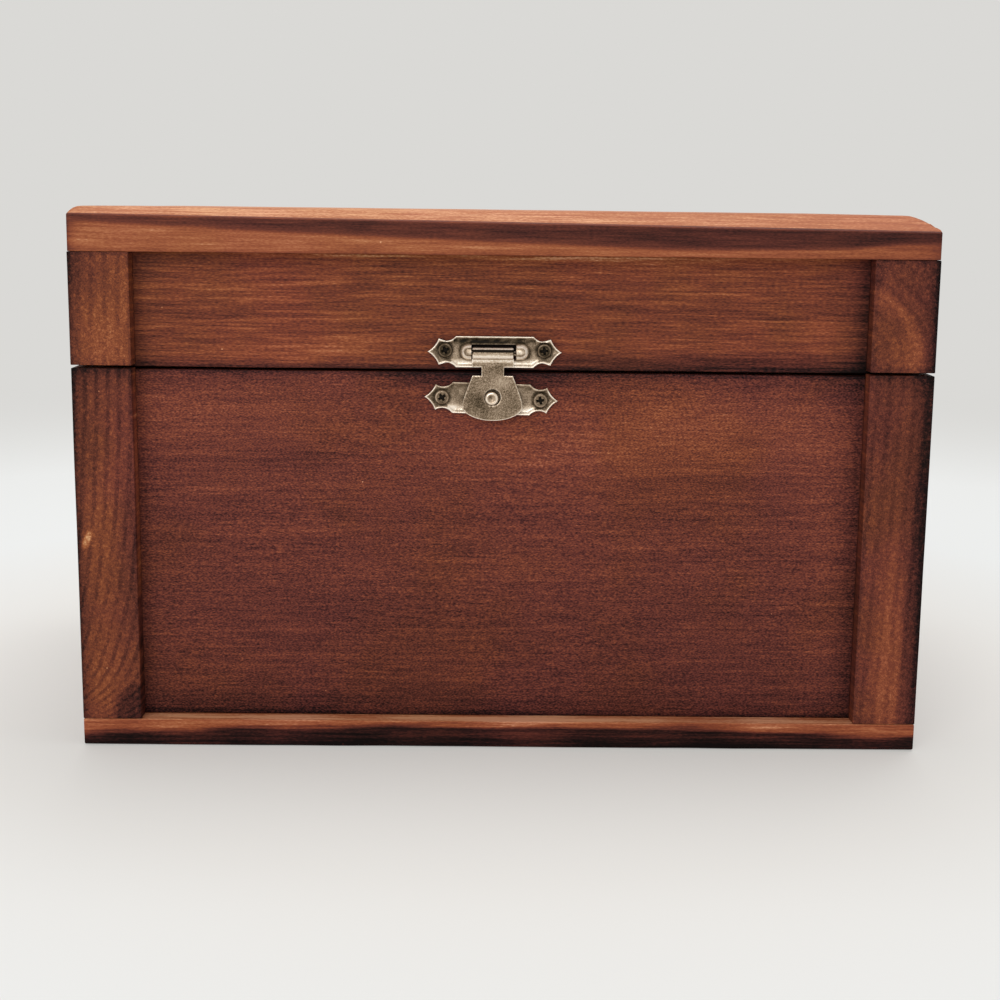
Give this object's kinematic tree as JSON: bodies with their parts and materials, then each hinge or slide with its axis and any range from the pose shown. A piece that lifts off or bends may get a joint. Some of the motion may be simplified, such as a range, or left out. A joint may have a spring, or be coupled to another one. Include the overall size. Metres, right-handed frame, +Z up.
{
  "type": "recipe card box",
  "caption": "Small hinged wooden box for recipe cards: lift-up lid, recessed front panels between end-grain side boards, bevelled top and a swing-flap brass latch.",
  "frame": {"origin": "centre of the bottom board's underside, on the surface the box stands on", "axes": "+X to the right of someone facing the box, -Y out of the front where the latch is, +Z up"},
  "size_m": [0.1648, 0.113, 0.105],
  "materials": {
    "stained_wood": "red-brown stain with worn satin varnish",
    "plate_brass": "tarnished pale brass, rims worn bright",
    "flap_metal": "dull grey-brass, mottled",
    "stud_metal": "tarnished, bright rim",
    "latch_screw_metal": "worn plated heads",
    "hinge_brass": "tarnished brass",
    "screw_brass": "tarnished brass",
    "brad_steel": "dull steel"
  },
  "bodies": {
    "base": {"base_back_panel": "stained_wood", "base_front_panel": "stained_wood", "base_side_left": "stained_wood", "base_side_right": "stained_wood", "bottom_board": "stained_wood", "bottom_brad_1": "brad_steel", "bottom_brad_2": "brad_steel", "bottom_brad_3": "brad_steel", "bottom_brad_4": "brad_steel", "bottom_brad_5": "brad_steel", "bottom_brad_6": "brad_steel", "hinge_left_base_leaf": "hinge_brass", "hinge_left_base_screw_1": "screw_brass", "hinge_left_base_screw_2": "screw_brass", "hinge_left_pin": "hinge_brass", "hinge_right_base_leaf": "hinge_brass", "hinge_right_base_screw_1": "screw_brass", "hinge_right_base_screw_2": "screw_brass", "hinge_right_pin": "hinge_brass", "latch_lower_plate": "plate_brass", "latch_lower_screw_left": "latch_screw_metal", "latch_lower_screw_right": "latch_screw_metal", "latch_stud": "stud_metal"},
    "lid": {"hinge_left_lid_leaf": "hinge_brass", "hinge_left_lid_screw_1": "screw_brass", "hinge_left_lid_screw_2": "screw_brass", "hinge_right_lid_leaf": "hinge_brass", "hinge_right_lid_screw_1": "screw_brass", "hinge_right_lid_screw_2": "screw_brass", "latch_upper_plate": "plate_brass", "latch_upper_screw_left": "latch_screw_metal", "latch_upper_screw_right": "latch_screw_metal", "lid_back_panel": "stained_wood", "lid_front_panel": "stained_wood", "lid_side_left": "stained_wood", "lid_side_right": "stained_wood", "lid_top_board": "stained_wood"},
    "latch_flap": {"latch_flap": "flap_metal"}
  },
  "joints": [
    {"name": "lid_hinge", "type": "hinge", "parent": "base", "child": "lid", "pos_m": [0, 0.05665, 0.07485], "axis": [-1, 0, 0], "range_deg": [0, 180]},
    {"name": "flap_hinge", "type": "hinge", "parent": "lid", "child": "latch_flap", "pos_m": [-0.00213, -0.05245, 0.07791], "axis": [-1, 0, 0], "range_deg": [0, 170]}
  ]
}
